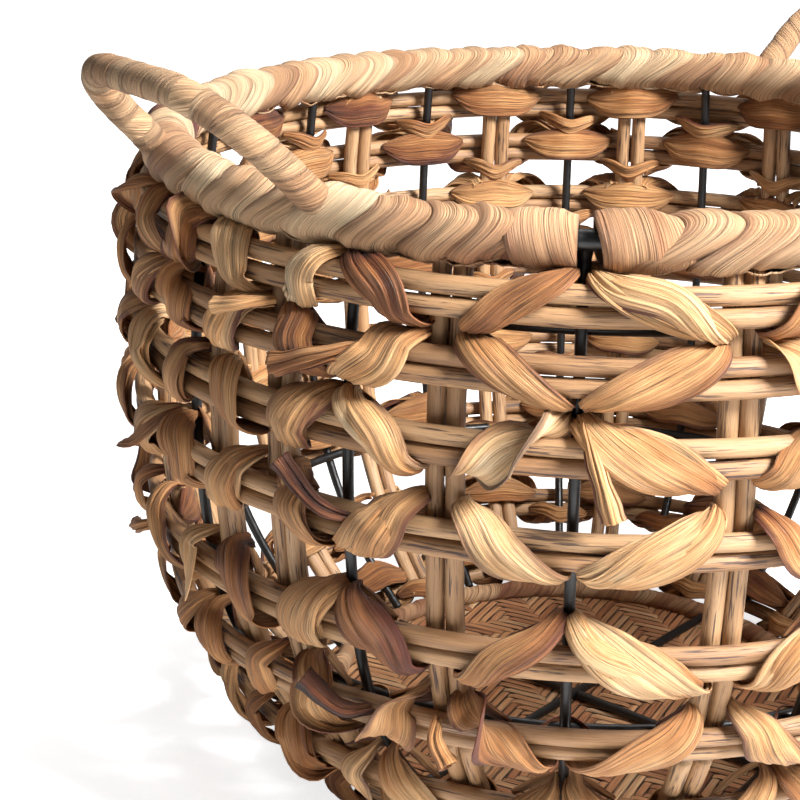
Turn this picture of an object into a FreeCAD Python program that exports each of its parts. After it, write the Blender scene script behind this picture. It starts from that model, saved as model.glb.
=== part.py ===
import FreeCAD, Part
import math
import os
import Sketcher
from FreeCAD import Placement, Rotation, Vector

# Open-weave basket: a steel wire frame and rattan stakes, eight rows of paired rattan rods outside them,
# leaf strands binding each row, a wrapped rim, two wrapped handles and a woven floor.
# Millimetres. +Z up, origin at the middle of the floor's underside, first handle towards -X.
# Azimuths are in degrees: 0 points along -Y and +90 along +X.

DIMENSIONS = {
    # wall profile of the rod rows: three tangent arcs, belly outermost
    "belly_radius": 187.0,
    "belly_height": 175.0,
    "upper_curve": 470.0,
    "middle_curve": 400.0,
    "lower_curve": 170.0,
    "turn_height": 110.0,
    # rim and steel frame
    "rim_height": 260.0,
    "top_rod": 7.0,
    "wire_rod": 4.0,
    "ring_gap": 0.3,
    "weld_gap": 0.2,
    "front_bar_height": 229.0,
    "front_bar_angle": 30.0,
    "lower_ring_height": 76.5,
    "base_ring_height": 7.0,
    "base_ring_rod": 5.0,
    # rattan
    "rattan_rod": 7.0,
    "rod_pitch": 7.2,
    "stake_top": 255.0,
    # wrapping
    "rim_wrap_radius": 8.6,
    "rim_wrap_bore": 6.3,
    "rim_wrap_inset": 2.0,
    "rim_wrap_drop": 1.0,
    "rim_slot_inner": 208.0,
    "rim_slot_outer": -75.0,
    "leaf_thick": 4.0,
    "leaf_width": 24.0,
    "leaf_clear": 1.7,
    "leaf_share": 0.86,
    "leaf_row_gap": 3.0,
    "leaf_floor_gap": 0.5,
    # handles
    "handle_rod": 8.0,
    "handle_half": 56.0,
    "handle_top_half": 52.0,
    "handle_rise": 57.0,
    "handle_bend": 36.0,
    "handle_foot": 5.0,
    "handle_tilt": 45.0,
    "handle_wrap_outer": 12.2,
    "handle_wrap_foot": 4.0,
    "handle_bore_run": 2.0,
    # floor
    "panel_radius": 121.0,
    "panel_thick": 4.0,
}
ROW_HEIGHTS = [240.0, 217.0, 190.0, 157.0, 114.0, 78.0, 37.0, 12.0]

# Gaps between neighbouring stakes, going round from the first wire towards the left handle.
STAKE_GAPS = [14, 12, 9, 11, 8, 12, 13, 12, 12, 13, 12, 10, 12, 12, 12,
              10, 12, 12, 13, 14, 13, 14, 13, 14, 14, 13, 14, 13, 17]
FIRST_STAKE = -39
# The only place with two rattan stakes side by side is after this many stakes.
DOUBLE_AT = 4
# The strands' zigzag skips one change of edge here, because the number of stakes is odd.
STRAND_JOIN = 24

HANDLES = {"left": -86.5, "right": 98.0}
BAR_AZIMUTH = 107.0
# The short bar inside the first wire starts here and runs towards larger azimuths.
FRONT_BAR_START = -54.0

doc = FreeCAD.newDocument("basket")
sheet = doc.addObject("Spreadsheet::Sheet", "Sheet")
for line, (alias, value) in enumerate(DIMENSIONS.items(), start=1):
    sheet.set("A%d" % line, alias)
    sheet.set("B%d" % line, str(value))
    sheet.setAlias("B%d" % line, alias)
for row, value in enumerate(ROW_HEIGHTS, start=1):
    line = len(DIMENSIONS) + row
    sheet.set("A%d" % line, "row_height_%d" % row)
    sheet.set("B%d" % line, str(value))
    sheet.setAlias("B%d" % line, "row_height_%d" % row)
doc.recompute()

parts = []


def size(alias):
    return float(sheet.get(alias))


def keep(feature, label):
    """Give a finished sub-part its name and put it on the list of files to write."""
    feature.Label = label
    parts.append(feature)
    return feature


def outward(azimuth):
    angle = math.radians(azimuth)
    return Vector(math.sin(angle), -math.cos(angle), 0)


# ---- wall profile -------------------------------------------------------------------------------

def profile_arcs():
    """The wall's three arcs, top to bottom, as (centre radius, centre height, arc radius)."""
    belly = size("belly_radius")
    height = size("belly_height")
    upper = size("upper_curve")
    middle = size("middle_curve")
    lower = size("lower_curve")
    sine = (height - size("turn_height")) / middle
    cosine = math.sqrt(1 - sine ** 2)
    lower_centre = (belly - middle + (middle - lower) * cosine, height - (middle - lower) * sine)
    return [(belly - upper, height, upper), (belly - middle, height, middle), lower_centre + (lower,)]


def profile_arc(height):
    upper, middle, lower = profile_arcs()
    if height >= size("belly_height"):
        return upper
    if height >= size("turn_height"):
        return middle
    return lower


def wall_radius(height, inset=0.0):
    """Radius of the wall's mid-line, or of a line inset from it, at a height."""
    centre, level, arc = profile_arc(height)
    return centre + math.sqrt((arc - inset) ** 2 - (height - level) ** 2)


def wall_radius_rule(alias, inset):
    """Expression on the sheet for wall_radius at the height held in a cell."""
    height = size(alias)
    rise = "(Sheet.%s - Sheet.belly_height)" % alias
    if height >= size("belly_height"):
        curve = "Sheet.upper_curve"
        centre = "Sheet.belly_radius - Sheet.upper_curve"
    elif height >= size("turn_height"):
        curve = "Sheet.middle_curve"
        centre = "Sheet.belly_radius - Sheet.middle_curve"
    else:
        curve = "Sheet.lower_curve"
        sine = "((Sheet.belly_height - Sheet.turn_height) / Sheet.middle_curve)"
        between = "(Sheet.middle_curve - Sheet.lower_curve)"
        centre = "Sheet.belly_radius - Sheet.middle_curve + %s * sqrt(1 - %s ^ 2)" % (between, sine)
        rise = "(Sheet.%s - Sheet.belly_height + %s * %s)" % (alias, between, sine)
    return "%s + sqrt((%s - (%s)) ^ 2 - %s ^ 2)" % (centre, curve, inset, rise)


def wall_normal(height):
    """Outward normal of the wall's mid-line in the radius and height plane."""
    centre, level, arc = profile_arc(height)
    return (wall_radius(height) - centre) / arc, (height - level) / arc


def wall_line(inset, bottom, top):
    """Wire in the XZ plane that runs down the wall, inset from its mid-line."""
    upper, middle, lower = profile_arcs()
    turn = math.asin((middle[1] - size("turn_height")) / middle[2])
    limits = [
        (upper, math.asin((top - upper[1]) / (upper[2] - inset)), 0.0),
        (middle, 0.0, -turn),
        (lower, -turn, math.asin((bottom - lower[1]) / (lower[2] - inset))),
    ]
    edges = []
    for (centre, level, arc), start, end in limits:
        points = []
        for angle in (start, (start + end) / 2, end):
            reach = arc - inset
            points.append(Vector(centre + reach * math.cos(angle), 0, level + reach * math.sin(angle)))
        edges.append(Part.Arc(*points).toShape())
    return Part.Wire(edges)


# ---- general pieces -----------------------------------------------------------------------------

def torus(name, ring, rod, height):
    """A ring of round rod; each size is an expression on the sheet."""
    feature = doc.addObject("Part::Torus", name)
    feature.setExpression("Radius1", ring)
    feature.setExpression("Radius2", rod)
    feature.setExpression("Placement.Base.z", height)
    return feature


def sweep(name, path, diameter):
    """Round rod along a wire; the diameter is an expression on the sheet."""
    spine = doc.addObject("Part::Feature", name + "_line")
    spine.Shape = path
    first = path.Edges[0]
    start = first.valueAt(first.FirstParameter)
    along = first.tangentAt(first.FirstParameter)
    circle = doc.addObject("Part::Circle", name + "_section")
    circle.setExpression("Radius", "(%s) / 2" % diameter)
    circle.Placement = Placement(start, Rotation(Vector(0, 0, 1), along))
    feature = doc.addObject("Part::Sweep", name)
    feature.Sections = [circle]
    feature.Spine = (spine, ["Edge%d" % (i + 1) for i in range(len(path.Edges))])
    feature.Solid = True
    feature.Frenet = False
    return feature


def compound(name, links, azimuth=None):
    feature = doc.addObject("Part::Compound", name)
    feature.Links = links
    if azimuth is not None:
        feature.Placement = Placement(Vector(), Rotation(Vector(0, 0, 1), azimuth - 90))
    return feature


def cut(name, base, tool):
    feature = doc.addObject("Part::Cut", name)
    feature.Base = base
    feature.Tool = tool
    return feature


# ---- stakes -------------------------------------------------------------------------------------

def stake_azimuths():
    """Every stake's azimuth and kind, in order round the basket."""
    stakes = []
    azimuth = FIRST_STAKE
    for index, gap in enumerate(STAKE_GAPS):
        before_double = index < DOUBLE_AT
        is_wire = index % 2 == (0 if before_double else 1)
        stakes.append((azimuth, "wire" if is_wire else "rattan"))
        azimuth -= gap
    return stakes


def wire_inset():
    """The wires' inner side is level with the rattan stakes' inner side."""
    return size("rattan_rod") * 1.5 - size("wire_rod") / 2


def top_ring_radius():
    """The top ring lies against the wires' outer side."""
    return wall_radius(size("rim_height"), wire_inset() - size("wire_rod") / 2 - size("top_rod") / 2 - size("weld_gap"))


def make_stakes():
    rattan_inset = size("rattan_rod") + size("ring_gap")
    base_top = size("base_ring_height") + size("base_ring_rod") / 2 + size("ring_gap")
    wire_path = wall_line(wire_inset(), base_top, size("rim_height") + size("rim_wrap_drop"))
    wire = sweep("wire_master", wire_path, "Sheet.wire_rod")
    rattan_path = wall_line(rattan_inset, base_top + size("rattan_rod") / 4, size("stake_top"))
    rods = []
    for side, sign in (("a", -1), ("b", 1)):
        path = rattan_path.copy()
        path.translate(Vector(0, sign * size("rod_pitch") / 2, 0))
        rods.append(sweep("rattan_master_" + side, path, "Sheet.rattan_rod"))
    counts = {"wire": 0, "rattan": 0}
    for azimuth, kind in stake_azimuths():
        counts[kind] += 1
        label = "%s_stake_%02d" % (kind, counts[kind])
        links = [wire] if kind == "wire" else rods
        keep(compound(label + "_place", links, azimuth), label)


# ---- steel rings and floor bars -----------------------------------------------------------------

def make_frame_rings():
    wire = "1.5 * Sheet.rattan_rod - Sheet.wire_rod / 2"
    against = wire + " - Sheet.wire_rod / 2 - Sheet.top_rod / 2 - Sheet.weld_gap"
    top = torus("top_ring_torus", wall_radius_rule("rim_height", against), "Sheet.top_rod / 2",
                "Sheet.rim_height")
    keep(top, "top_ring")
    inside = wire + " + Sheet.wire_rod + Sheet.weld_gap"
    lower = torus("lower_ring_torus", wall_radius_rule("lower_ring_height", inside), "Sheet.wire_rod / 2",
                  "Sheet.lower_ring_height")
    keep(lower, "lower_ring")
    bar = torus("front_bar_torus", wall_radius_rule("front_bar_height", inside), "Sheet.wire_rod / 2",
                "Sheet.front_bar_height")
    bar.setExpression("Angle3", "Sheet.front_bar_angle")
    bar.Placement.Rotation = Rotation(Vector(0, 0, 1), FRONT_BAR_START - 90)
    keep(bar, "front_bar")
    base = torus("base_ring_torus", wall_radius_rule("base_ring_height", wire), "Sheet.base_ring_rod / 2",
                 "Sheet.base_ring_height")
    keep(base, "base_ring")


def floor_bar(name, start, length, azimuth):
    """A straight bar on top of the floor, from a distance along an azimuth."""
    bar = doc.addObject("Part::Cylinder", name)
    bar.setExpression("Radius", "Sheet.wire_rod / 2")
    bar.Height = length
    level = size("panel_thick") + size("ring_gap") + size("wire_rod") / 2
    direction = outward(azimuth)
    bar.Placement = Placement(direction * start + Vector(0, 0, level), Rotation(Vector(0, 0, 1), direction))
    return bar


def make_floor():
    base_radius = wall_radius(size("base_ring_height"), wire_inset())
    reach = base_radius - size("base_ring_rod") / 2 - size("weld_gap")
    keep(floor_bar("long_bar", -reach, 2 * reach, BAR_AZIMUTH), "base_bar_long")
    inner = size("wire_rod") / 2 + size("ring_gap")
    halves = [floor_bar("cross_bar_%d" % turn, inner, reach - inner, BAR_AZIMUTH + turn) for turn in (90, 270)]
    keep(compound("cross_bars", halves), "base_bar_cross")

    body = doc.addObject("PartDesign::Body", "base_panel_body")
    sketch = body.newObject("Sketcher::SketchObject", "base_panel_outline")
    plane = [f for f in body.Origin.OriginFeatures if f.Role == "XY_Plane"][0]
    sketch.AttachmentSupport = [(plane, "")]
    sketch.MapMode = "FlatFace"
    sketch.addGeometry(Part.Circle(Vector(0, 0, 0), Vector(0, 0, 1), size("panel_radius")))
    sketch.addConstraint(Sketcher.Constraint("Coincident", 0, 3, -1, 1))
    sketch.addConstraint(Sketcher.Constraint("Radius", 0, size("panel_radius")))
    sketch.renameConstraint(1, "panel_radius")
    sketch.setExpression("Constraints.panel_radius", "Sheet.panel_radius")
    doc.recompute()
    pad = body.newObject("PartDesign::Pad", "base_panel_pad")
    pad.Profile = sketch
    pad.setExpression("Length", "Sheet.panel_thick")
    keep(body, "base_panel")


# ---- rod rows and leaf strands ------------------------------------------------------------------

def make_rod_row(row):
    alias = "row_height_%d" % row
    normal_r, normal_z = wall_normal(size(alias))
    rods = []
    for side, sign in (("lower", -1), ("upper", 1)):
        ring = "%s - Sheet.rod_pitch / 2 * %.5f" % (wall_radius_rule(alias, "0"), sign * normal_z)
        rise = "Sheet.%s + Sheet.rod_pitch / 2 * %.5f" % (alias, sign * normal_r)
        rods.append(torus("rod_%d_%s" % (row, side), ring, "Sheet.rattan_rod / 2", rise))
    keep(compound("row_%d" % row, rods), "rod_row_%d" % row)


def strand_edge(row, index):
    """+1 where the row's strand passes a stake along the top of the rods, -1 along the bottom."""
    turns = index + row + (1 if index >= STRAND_JOIN else 0)
    return 1 if turns % 2 == 1 else -1


def leaf(length, width):
    """A flat pointed leaf in the XY plane, extruded along +Z."""
    half = length / 2
    outline = Part.Wire([
        Part.Arc(Vector(-half, 0, 0), Vector(0, width / 2, 0), Vector(half, 0, 0)).toShape(),
        Part.Arc(Vector(half, 0, 0), Vector(0, -width / 2, 0), Vector(-half, 0, 0)).toShape(),
    ])
    return Part.Face(outline).extrude(Vector(0, 0, size("leaf_thick")))


def make_leaf_binding(row):
    height = size("row_height_%d" % row)
    neighbours = [size("row_height_%d" % r) for r in (row - 1, row + 1) if 1 <= r <= len(ROW_HEIGHTS)]
    room = min(math.hypot(height - other, wall_radius(height) - wall_radius(other)) for other in neighbours)
    normal_r, normal_z = wall_normal(height)
    stand = size("rattan_rod") / 2 + size("leaf_clear")
    floor_room = height + (stand + size("leaf_thick")) * min(normal_z, 0) - size("leaf_floor_gap")
    width = min(size("leaf_width"), room - size("leaf_row_gap"), 2 * floor_room / normal_r)
    reach = wall_radius(height)
    slope = 1.0 if row < len(ROW_HEIGHTS) else 0.0
    leaves = []
    stakes = stake_azimuths()
    for index, gap in enumerate(STAKE_GAPS):
        middle = stakes[index][0] - gap / 2
        span = reach * math.radians(gap)
        # the strand climbs towards the stake with the higher edge
        ahead = (index + 1) % len(stakes)
        climb = slope * size("rod_pitch") * (strand_edge(row, index) - strand_edge(row, ahead))
        away = outward(middle)
        normal = away * normal_r + Vector(0, 0, normal_z)
        side = Vector(0, 0, 1).cross(away)
        up = normal.cross(side)
        along = side * span + up * climb
        along.normalize()
        shape = leaf(size("leaf_share") * math.hypot(span, climb), width)
        frame = Rotation(along, normal.cross(along), normal, "ZXY")
        shape.Placement = Placement(away * reach + Vector(0, 0, height) + normal * stand, frame)
        leaves.append(shape)
    feature = doc.addObject("Part::Feature", "leaf_binding_%d_shape" % row)
    feature.Shape = Part.makeCompound(leaves)
    keep(feature, "leaf_binding_%d" % row)


# ---- rim and handles ----------------------------------------------------------------------------

def handle_path(foot):
    """The handle loop's centre-line in its own plane: X along the chord, Z away from the rim."""
    half = size("handle_half")
    top_half = size("handle_top_half")
    rise = size("handle_rise")
    leg = Vector(half - top_half, 0, -rise).normalize()
    feet = [Vector(-half, 0, 0) - Vector(-leg.x, 0, leg.z) * foot, Vector(half, 0, 0) - leg * foot]
    corners = [Vector(-top_half, 0, rise), Vector(top_half, 0, rise)]
    turn = math.pi / 2 - math.asin(leg.x)
    setback = size("handle_bend") * math.tan(turn / 2)
    left_in = corners[0] + Vector(-leg.x, 0, leg.z) * setback
    left_out = corners[0] + Vector(setback, 0, 0)
    right_in = corners[1] - Vector(setback, 0, 0)
    right_out = corners[1] + leg * setback
    edges = [Part.LineSegment(feet[0], left_in).toShape()]
    edges.append(bend(left_in, corners[0], left_out))
    edges.append(Part.LineSegment(left_out, right_in).toShape())
    edges.append(bend(right_in, corners[1], right_out))
    edges.append(Part.LineSegment(right_out, feet[1]).toShape())
    return Part.Wire(edges)


def bend(start, corner, end):
    """Tangent arc that rounds a corner between two points equally far from it."""
    chord = (start + end) / 2
    inward = (chord - corner).normalize()
    half_angle = (start - corner).getAngle(inward)
    distance = (start - corner).Length
    radius = distance * math.tan(half_angle)
    centre = corner + inward * (distance / math.cos(half_angle))
    return Part.Arc(start, centre - inward * radius, end).toShape()


def handle_placement(azimuth):
    """The handle's plane stands on the chord between its feet and leans outwards."""
    reach = math.sqrt(top_ring_radius() ** 2 - size("handle_half") ** 2)
    away = outward(azimuth)
    tilt = math.radians(size("handle_tilt"))
    up = away * math.sin(tilt) + Vector(0, 0, math.cos(tilt))
    side = Vector(0, 0, 1).cross(away)
    return Placement(away * reach + Vector(0, 0, size("rim_height")), Rotation(side, up.cross(side), up, "ZXY"))


def placed(path, placement):
    moved = path.copy()
    moved.Placement = placement
    return moved


def make_handle(side, azimuth):
    place = handle_placement(azimuth)
    core = sweep("handle_core_" + side + "_rod", placed(handle_path(size("handle_foot")), place),
                 "Sheet.handle_rod")
    keep(core, "handle_core_" + side)
    wrap_foot = size("rim_wrap_radius") + size("handle_wrap_foot")
    outer = sweep("handle_wrap_" + side + "_outer", placed(handle_path(wrap_foot), place),
                  "Sheet.handle_wrap_outer")
    bore = sweep("handle_wrap_" + side + "_bore", placed(handle_path(wrap_foot - size("handle_bore_run")), place),
                 "Sheet.handle_rod + 2 * Sheet.ring_gap")
    keep(cut("handle_wrap_" + side + "_tube", outer, bore), "handle_wrap_" + side)


def make_rim_wrap():
    """Wound rim: a ring with a bore for the top ring and a slot below for the stakes' ends."""
    rim = top_ring_radius() - size("rim_wrap_inset")
    outer = size("rim_wrap_radius")
    bore = size("rim_wrap_bore")
    level = size("rim_height") - size("rim_wrap_drop")
    slot_in = math.radians(size("rim_slot_inner"))
    slot_out = math.radians(size("rim_slot_outer"))

    def at(radius, angle):
        return Vector(rim + radius * math.cos(angle), 0, level + radius * math.sin(angle))

    top = (slot_in + slot_out) / 2
    section = Part.Wire([
        Part.Arc(at(outer, slot_out), at(outer, top), at(outer, slot_in)).toShape(),
        Part.LineSegment(at(outer, slot_in), at(bore, slot_in)).toShape(),
        Part.Arc(at(bore, slot_in), at(bore, top), at(bore, slot_out)).toShape(),
        Part.LineSegment(at(bore, slot_out), at(outer, slot_out)).toShape(),
    ])
    ring = doc.addObject("Part::Feature", "rim_wrap_ring")
    ring.Shape = Part.Face(section).revolve(Vector(), Vector(0, 0, 1), 360)
    tools = []
    for side, azimuth in HANDLES.items():
        path = placed(handle_path(size("handle_foot")), handle_placement(azimuth))
        tools.append(sweep("rim_hole_" + side, path, "Sheet.handle_rod + 2 * Sheet.ring_gap"))
    keep(cut("rim_wrap_cut", ring, compound("rim_holes", tools)), "rim_wrap")


# ---- build, check and write ---------------------------------------------------------------------

make_stakes()
make_frame_rings()
make_floor()
for row_number in range(1, len(ROW_HEIGHTS) + 1):
    make_rod_row(row_number)
    make_leaf_binding(row_number)
make_rim_wrap()
for handle_side, handle_azimuth in HANDLES.items():
    make_handle(handle_side, handle_azimuth)

doc.recompute()
for item in doc.Objects:
    if "Invalid" in item.State or "Error" in item.State:
        raise RuntimeError("%s failed: %s" % (item.Name, item.State))
for item in parts:
    if item.Shape.isNull() or not item.Shape.isValid():
        raise RuntimeError("%s has no valid shape" % item.Label)

os.makedirs("parts", exist_ok=True)
for item in parts:
    item.Shape.exportStep(os.path.join("parts", item.Label + ".step"))
    print("%-20s solids %2d  volume %9.0f" % (item.Label, len(item.Shape.Solids), item.Shape.Volume))
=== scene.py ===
import math

import bpy
import numpy as np
from mathutils import Matrix, Vector


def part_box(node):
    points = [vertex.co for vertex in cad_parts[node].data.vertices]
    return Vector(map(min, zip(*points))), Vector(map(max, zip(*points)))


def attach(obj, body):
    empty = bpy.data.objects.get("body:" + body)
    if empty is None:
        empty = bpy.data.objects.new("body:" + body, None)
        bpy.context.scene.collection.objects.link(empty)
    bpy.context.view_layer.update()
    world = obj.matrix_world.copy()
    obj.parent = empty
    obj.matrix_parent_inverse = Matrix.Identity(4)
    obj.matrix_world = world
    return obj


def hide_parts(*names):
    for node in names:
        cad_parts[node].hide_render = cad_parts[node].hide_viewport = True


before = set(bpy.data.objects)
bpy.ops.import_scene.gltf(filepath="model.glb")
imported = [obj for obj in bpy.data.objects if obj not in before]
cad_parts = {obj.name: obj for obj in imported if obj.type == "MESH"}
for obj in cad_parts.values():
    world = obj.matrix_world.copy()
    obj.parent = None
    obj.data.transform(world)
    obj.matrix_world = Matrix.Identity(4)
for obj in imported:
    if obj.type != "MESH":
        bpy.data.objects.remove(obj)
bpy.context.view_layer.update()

# Woven wicker basket, in metres, in the CAD frame: +Z up, azimuth 0 along -Y and +90 along +X.
# Wall coordinates of a row: azimuth, rise (up the wall), out (along the wall's outward normal).

rng = np.random.default_rng(20)

ROD = 0.0035                 # radius of a rattan rod
ROD_PITCH = 0.0036           # a row's two rods lie this far above and below its middle
BAND = ROD + ROD_PITCH       # half height of a row's two rods
STAKE_DEPTH = 0.0108         # the stakes' inner side, in from the rods' middle
FIRST_STAKE = -39.0          # azimuth of the first wire
STRAND_JOIN = 24             # the zigzag skips one change of edge after this many stakes
ROWS = 8
FLOOR_GAP = 0.0004           # what would reach below the ground is pressed flat this far above it
PRESSED = 0.0012             # and is pressed softly over about this height


# ---- reading the frame --------------------------------------------------------------------------

def outward(azimuth):
    angle = np.radians(azimuth)
    return np.stack([np.sin(angle), -np.cos(angle), np.zeros_like(angle)], -1)


def sideways(azimuth):
    angle = np.radians(azimuth)
    return np.stack([np.cos(angle), np.sin(angle), np.zeros_like(angle)], -1)


def node_azimuth(name):
    points = np.array([v.co[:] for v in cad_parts[name].data.vertices])
    x, y = points[:, 0].mean(), points[:, 1].mean()
    return math.degrees(math.atan2(x, -y))


def read_stakes():
    """Stakes as (azimuth, kind, node), in order towards the first handle."""
    found = []
    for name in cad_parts:
        for kind in ("wire", "rattan"):
            if name.startswith(kind + "_stake"):
                found.append((node_azimuth(name), kind, name))
    found.sort(key=lambda stake: (FIRST_STAKE + 1 - stake[0]) % 360)
    azimuths = [FIRST_STAKE - (FIRST_STAKE - stake[0]) % 360 for stake in found]
    azimuths[0] = found[0][0]
    return [(a,) + stake[1:] for a, stake in zip(azimuths, found)]


class Row:
    """One row of rods: its middle line and the wall's direction there, from the CAD node's box."""

    def __init__(self, number):
        low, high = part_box("rod_row_%d" % number)
        self.number = number
        self.height = (low.z + high.z) / 2
        self.up_r = min(1.0, ((high.z - low.z) / 2 - ROD) / ROD_PITCH)
        lean = math.sqrt(1 - self.up_r ** 2)
        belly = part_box("rod_row_4")
        self.out_z = lean if self.height > (belly[0].z + belly[1].z) / 2 + 0.01 else -lean
        self.radius = high.x - ROD - ROD_PITCH * lean

    def point(self, azimuth, rise, out):
        """Points at wall coordinates; all three are arrays of one shape."""
        reach = self.radius - rise * self.out_z + out * self.up_r
        height = self.height + rise * self.up_r + out * self.out_z
        return outward(azimuth) * np.asarray(reach)[..., None] + np.stack(
            [np.zeros_like(height), np.zeros_like(height), height], -1)

    def direction(self, azimuth, rise, out):
        """Vectors with parts up the wall and outward."""
        flat = outward(azimuth) * np.asarray(-rise * self.out_z + out * self.up_r)[..., None]
        flat[..., 2] += rise * self.up_r + out * self.out_z
        return flat

    def edge(self, index):
        """+1 where the strand passes a stake along the rods' top, -1 along their bottom."""
        turns = index + self.number + (1 if index >= STRAND_JOIN else 0)
        return 1 if turns % 2 == 1 else -1


stakes = read_stakes()
rows = {number: Row(number) for number in range(1, ROWS + 1)}
rim_low, rim_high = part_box("rim_wrap")
rim_outer = (rim_high.z - rim_low.z) / 2
top_low, top_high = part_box("top_ring")
top_ring_rod = (top_high.z - top_low.z) / 2
top_ring_radius = top_high.x - top_ring_rod
rim_height = (top_high.z + top_low.z) / 2


# ---- mesh building ------------------------------------------------------------------------------

class Grids:
    """Collects grids of points into one mesh, with two point attributes for the materials.

    grain is (metres along the fibres, metres across them, a number that differs per piece);
    tone is (colour position, distance from the edge, dark tip, dark edge), each 0 to 1.
    """

    def __init__(self):
        self.points, self.grain, self.tone, self.faces = [], [], [], []
        self.count = 0

    def add(self, points, grain, tone, wrap=False, loop=False):
        n, m = points.shape[:2]
        index = self.count + np.arange(n * m).reshape(n, m)
        if wrap:
            index = np.concatenate([index, index[:, :1]], 1)
        if loop:
            index = np.concatenate([index, index[:1]], 0)
        quads = np.stack([index[:-1, :-1], index[:-1, 1:], index[1:, 1:], index[1:, :-1]], -1)
        self.points.append(points.reshape(-1, 3))
        self.grain.append(np.broadcast_to(grain, (n, m, 3)).reshape(-1, 3))
        self.tone.append(np.broadcast_to(tone, (n, m, 4)).reshape(-1, 4))
        self.faces.append(quads.reshape(-1, 4))
        self.count += n * m

    def piece(self, name, material, thickness=None):
        mesh = bpy.data.meshes.new(name)
        points = np.concatenate(self.points)
        points[:, 2] = FLOOR_GAP + PRESSED * np.logaddexp(0, (points[:, 2] - FLOOR_GAP) / PRESSED)
        mesh.from_pydata(points.tolist(), [], np.concatenate(self.faces).tolist())
        layers = (("grain", "FLOAT_VECTOR", "vector", self.grain),
                  ("tone", "FLOAT_COLOR", "color", self.tone))
        for key, kind, field, values in layers:
            layer = mesh.attributes.new(key, kind, "POINT")
            layer.data.foreach_set(field, np.concatenate(values).astype(np.float32).ravel())
        mesh.polygons.foreach_set("use_smooth", np.ones(len(mesh.polygons), bool))
        mesh.materials.append(material)
        obj = bpy.data.objects.new(name, mesh)
        bpy.context.scene.collection.objects.link(obj)
        if thickness:
            solid = obj.modifiers.new("thickness", "SOLIDIFY")
            solid.thickness = thickness
            solid.offset = 0
        return obj


def unit(vectors):
    return vectors / np.maximum(np.linalg.norm(vectors, axis=-1, keepdims=True), 1e-12)


def spline(keys, count, crowd=0.0):
    """Smooth open curve through the keys (rows of values), evenly sampled along its length.

    crowd above 0 packs the samples closer together near both ends.
    """
    keys = np.asarray(keys, float)
    gaps = np.maximum(np.linalg.norm(np.diff(keys, axis=0), axis=1), 1e-9)
    knots = np.concatenate([[0], np.cumsum(gaps)])
    slopes = np.diff(keys, axis=0) / gaps[:, None]
    around = (gaps[:-1] + gaps[1:])[:, None]
    inner = (slopes[:-1] * gaps[1:, None] + slopes[1:] * gaps[:-1, None]) / around
    tangents = np.concatenate([slopes[:1], inner, slopes[-1:]])
    t = np.linspace(0, 1, count)
    t = t - crowd * np.sin(2 * math.pi * t) / (2 * math.pi)
    where = t * knots[-1]
    cell = np.clip(np.searchsorted(knots, where, side="right") - 1, 0, len(gaps) - 1)
    width = gaps[cell][:, None]
    x = (where - knots[cell])[:, None] / width
    start, end = keys[cell], keys[cell + 1]
    into, out = tangents[cell] * width, tangents[cell + 1] * width
    return (start * (2 * x ** 3 - 3 * x ** 2 + 1) + end * (3 * x ** 2 - 2 * x ** 3)
            + into * (x ** 3 - 2 * x ** 2 + x) + out * (x ** 3 - x ** 2))


def path_frames(path, facing):
    """Direction, width and normal vectors along a path; the normal stays near facing."""
    along = unit(np.gradient(path, axis=0))
    normal = unit(facing - along * (facing * along).sum(-1, keepdims=True))
    return along, np.cross(normal, along), normal


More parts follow.
